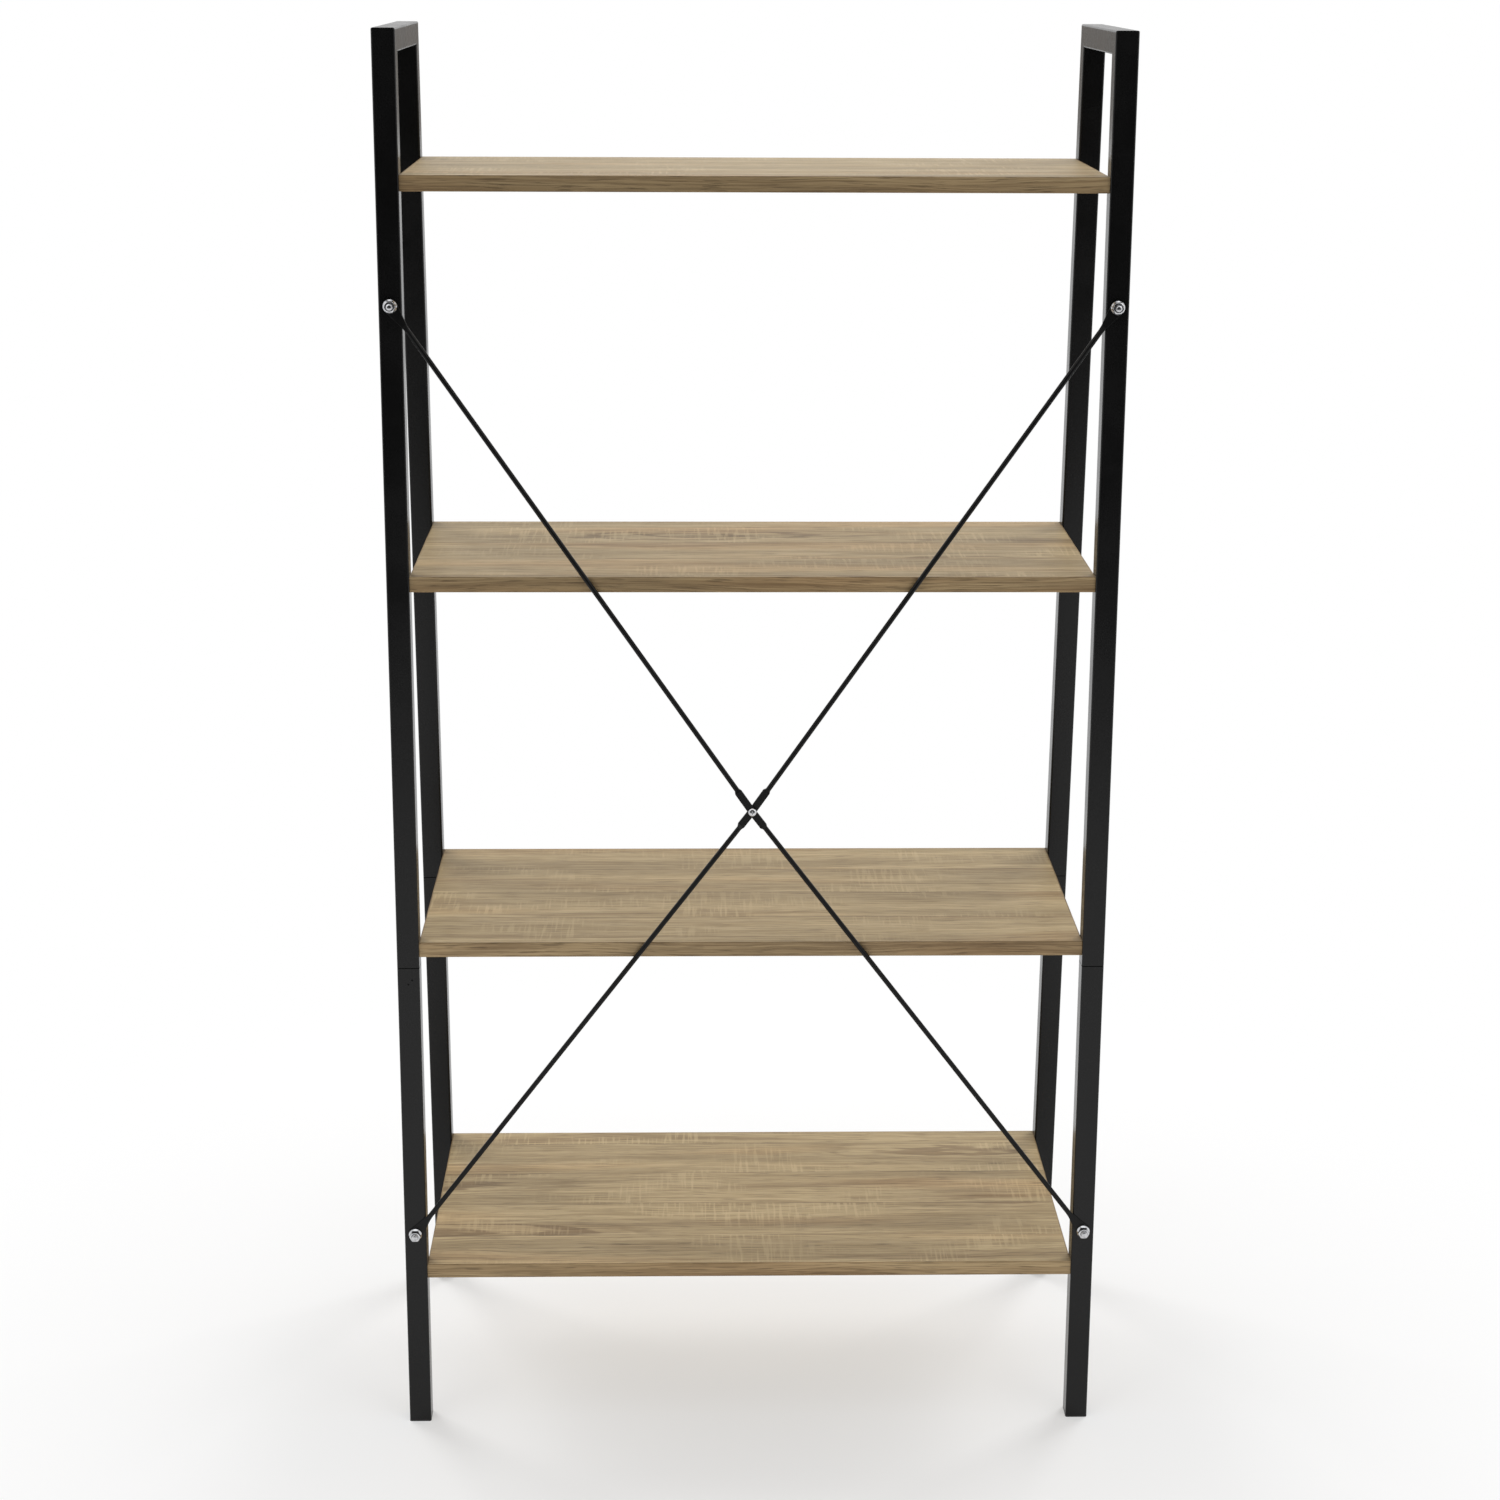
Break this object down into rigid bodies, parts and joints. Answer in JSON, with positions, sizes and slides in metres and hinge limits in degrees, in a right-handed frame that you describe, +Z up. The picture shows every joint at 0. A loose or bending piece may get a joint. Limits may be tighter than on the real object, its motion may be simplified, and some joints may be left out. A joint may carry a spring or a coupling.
{
  "type": "ladder shelving unit",
  "caption": "Free-standing ladder-style shelf: black square-tube side frames with leaning front posts, oak-look boards between them and a crossed rod brace at the back.",
  "frame": {"origin": "on the floor, at the centre of the bounding box", "axes": "+Z up, -Y towards the front (the leaning posts), +Y towards the back (the upright posts and the brace), +X to the right as seen from the front"},
  "size_m": [0.7, 0.3606, 1.4],
  "materials": {
    "frame_paint": "satin black powder coat",
    "rod_paint": "satin black powder coat",
    "sleeve_steel": "matt black coated steel",
    "foot_plastic": "matt black plastic",
    "oak_laminate": "matt sawn-oak laminate",
    "oak_edge_band": "matt oak edge band",
    "zinc_steel": "bright zinc"
  },
  "bodies": {
    "root": {"left_top_rail": "frame_paint", "left_upper_rear_post": "frame_paint", "left_lower_rear_post": "frame_paint", "left_rear_sleeve": "sleeve_steel", "left_rear_foot": "foot_plastic", "left_upper_front_post": "frame_paint", "left_lower_front_post": "frame_paint", "left_front_sleeve": "sleeve_steel", "left_front_foot": "foot_plastic", "right_top_rail": "frame_paint", "right_upper_rear_post": "frame_paint", "right_lower_rear_post": "frame_paint", "right_rear_sleeve": "sleeve_steel", "right_rear_foot": "foot_plastic", "right_upper_front_post": "frame_paint", "right_lower_front_post": "frame_paint", "right_front_sleeve": "sleeve_steel", "right_front_foot": "foot_plastic", "top_shelf_board": "oak_laminate", "top_edge_bands": "oak_edge_band", "second_shelf_board": "oak_laminate", "second_edge_bands": "oak_edge_band", "third_shelf_board": "oak_laminate", "third_edge_bands": "oak_edge_band", "bottom_shelf_board": "oak_laminate", "bottom_edge_bands": "oak_edge_band", "brace_rod_inner": "rod_paint", "brace_rod_outer": "rod_paint", "brace_centre_screw": "zinc_steel", "brace_centre_nut": "zinc_steel", "brace_bolts": "zinc_steel", "brace_nuts": "zinc_steel", "shelf_screws": "zinc_steel"}
  },
  "joints": []
}
